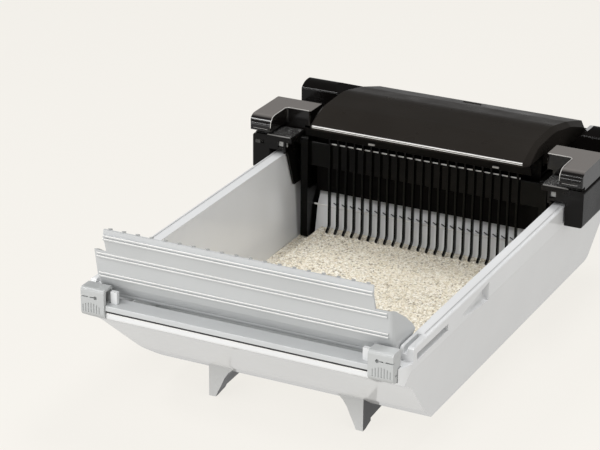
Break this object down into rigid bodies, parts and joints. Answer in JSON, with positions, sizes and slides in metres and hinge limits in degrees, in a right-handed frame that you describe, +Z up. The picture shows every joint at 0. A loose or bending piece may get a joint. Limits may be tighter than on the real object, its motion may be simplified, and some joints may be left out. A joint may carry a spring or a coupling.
{
  "type": "automatic raking litter box",
  "caption": "Automatic litter box: a pan with side rails, a powered rake carriage that runs along them, and a hinged front lid over a waste tray.",
  "frame": {"origin": "on the floor, under the centre of the bounding box", "axes": "+Y from the lid at the front to the carriage at the back, +X to the right seen from the front, +Z up"},
  "size_m": [0.44, 0.6797, 0.24],
  "materials": {
    "grey_plastic": "light grey injection-moulded plastic, satin",
    "lid_plastic": "light grey injection-moulded plastic, satin",
    "tray_plastic": "light grey thin-wall plastic",
    "black_plastic": "black moulded plastic, satin",
    "gloss_black": "black moulded plastic, glossy",
    "window_plastic": "smoked sensor window",
    "litter": "pale clay granules",
    "steel": "plain steel",
    "motor_steel": "zinc plated can",
    "gear_plastic": "natural acetal",
    "tyre_rubber": "black rubber",
    "board": "green circuit board",
    "cell_jacket": "plain cell jackets",
    "switch_plastic": "dark grey plastic"
  },
  "bodies": {
    "base": {"pan": "grey_plastic", "front_trim": "grey_plastic", "front_left_foot": "grey_plastic", "front_right_foot": "grey_plastic", "rear_left_foot": "grey_plastic", "rear_right_foot": "grey_plastic", "litter_bed": "litter", "lid_hinge_pins": "steel", "catch_pins": "steel"},
    "lid": {"lid": "lid_plastic"},
    "left_catch": {"left_catch": "grey_plastic"},
    "right_catch": {"right_catch": "grey_plastic"},
    "waste_tray": {"waste_tray": "tray_plastic"},
    "carriage": {"left_end_housing": "black_plastic", "right_end_housing": "black_plastic", "left_cap": "gloss_black", "right_cap": "gloss_black", "left_rear_block": "gloss_black", "right_rear_block": "gloss_black", "chassis": "black_plastic", "hood": "gloss_black", "front_fascia": "gloss_black", "sensor_windows": "window_plastic", "lower_housing": "black_plastic", "battery_tray": "black_plastic", "battery_cells": "cell_jacket", "battery_door_pin": "steel", "circuit_board": "board", "gearmotor": "motor_steel", "motor_bracket": "black_plastic", "shaft_bushes": "gear_plastic", "idler_axles": "steel", "dc_inlet": "black_plastic", "screws": "steel", "rake_pins": "steel"},
    "battery_door": {"battery_door": "gloss_black"},
    "drive_axle": {"cross_shaft": "steel", "spur_gear": "gear_plastic", "drive_hubs": "gear_plastic", "drive_tyres": "tyre_rubber"},
    "motor_pinion": {"motor_pinion": "gear_plastic"},
    "left_idler": {"left_idler": "gear_plastic"},
    "right_idler": {"right_idler": "gear_plastic"},
    "power_switch": {"power_switch": "switch_plastic"},
    "rake": {"rake_comb": "black_plastic", "left_rake_arm": "black_plastic", "right_rake_arm": "black_plastic"}
  },
  "joints": [
    {"name": "carriage_slide", "type": "slide", "parent": "base", "child": "carriage", "axis": [0, -1, 0], "range_m": [0, 0.24]},
    {"name": "rake_swing", "type": "hinge", "parent": "carriage", "child": "rake", "pos_m": [0, 0.164, 0.176], "axis": [-1, 0, 0], "range_deg": [0, 50]},
    {"name": "lid_hinge", "type": "hinge", "parent": "base", "child": "lid", "pos_m": [0, -0.3, 0.15], "axis": [1, 0, 0], "range_deg": [-95, 0]},
    {"name": "left_catch_tilt", "type": "hinge", "parent": "base", "child": "left_catch", "pos_m": [-0.1725, -0.3317, 0.14], "axis": [1, 0, 0], "range_deg": [0, 30]},
    {"name": "right_catch_tilt", "type": "hinge", "parent": "base", "child": "right_catch", "pos_m": [0.1725, -0.3317, 0.14], "axis": [1, 0, 0], "range_deg": [0, 30]},
    {"name": "waste_tray_lift", "type": "slide", "parent": "base", "child": "waste_tray", "axis": [0, 0, 1], "range_m": [0, 0.12]},
    {"name": "battery_door_hinge", "type": "hinge", "parent": "carriage", "child": "battery_door", "pos_m": [0, 0.28126, 0.20994], "axis": [1, 0, 0], "range_deg": [0, 60]},
    {"name": "power_switch_slide", "type": "slide", "parent": "carriage", "child": "power_switch", "axis": [1, 0, 0], "range_m": [0, 0.005]},
    {"name": "drive_axle_spin", "type": "hinge", "parent": "carriage", "child": "drive_axle", "pos_m": [0, 0.224, 0.1722], "axis": [1, 0, 0], "range_deg": [-5, 1400]},
    {"name": "motor_pinion_spin", "type": "hinge", "parent": "carriage", "child": "motor_pinion", "pos_m": [-0.022, 0.2504, 0.1722], "axis": [1, 0, 0], "range_deg": [-4200, 15]},
    {"name": "left_idler_spin", "type": "hinge", "parent": "carriage", "child": "left_idler", "pos_m": [-0.187, 0.293, 0.1722], "axis": [1, 0, 0], "range_deg": [-5, 1400]},
    {"name": "right_idler_spin", "type": "hinge", "parent": "carriage", "child": "right_idler", "pos_m": [0.187, 0.293, 0.1722], "axis": [1, 0, 0], "range_deg": [-5, 1400]}
  ],
  "couplings": [
    {"joint": "drive_axle_spin", "follows": "carriage_slide", "rad_per_m": 100},
    {"joint": "motor_pinion_spin", "follows": "carriage_slide", "rad_per_m": -300},
    {"joint": "left_idler_spin", "follows": "carriage_slide", "rad_per_m": 100},
    {"joint": "right_idler_spin", "follows": "carriage_slide", "rad_per_m": 100}
  ]
}
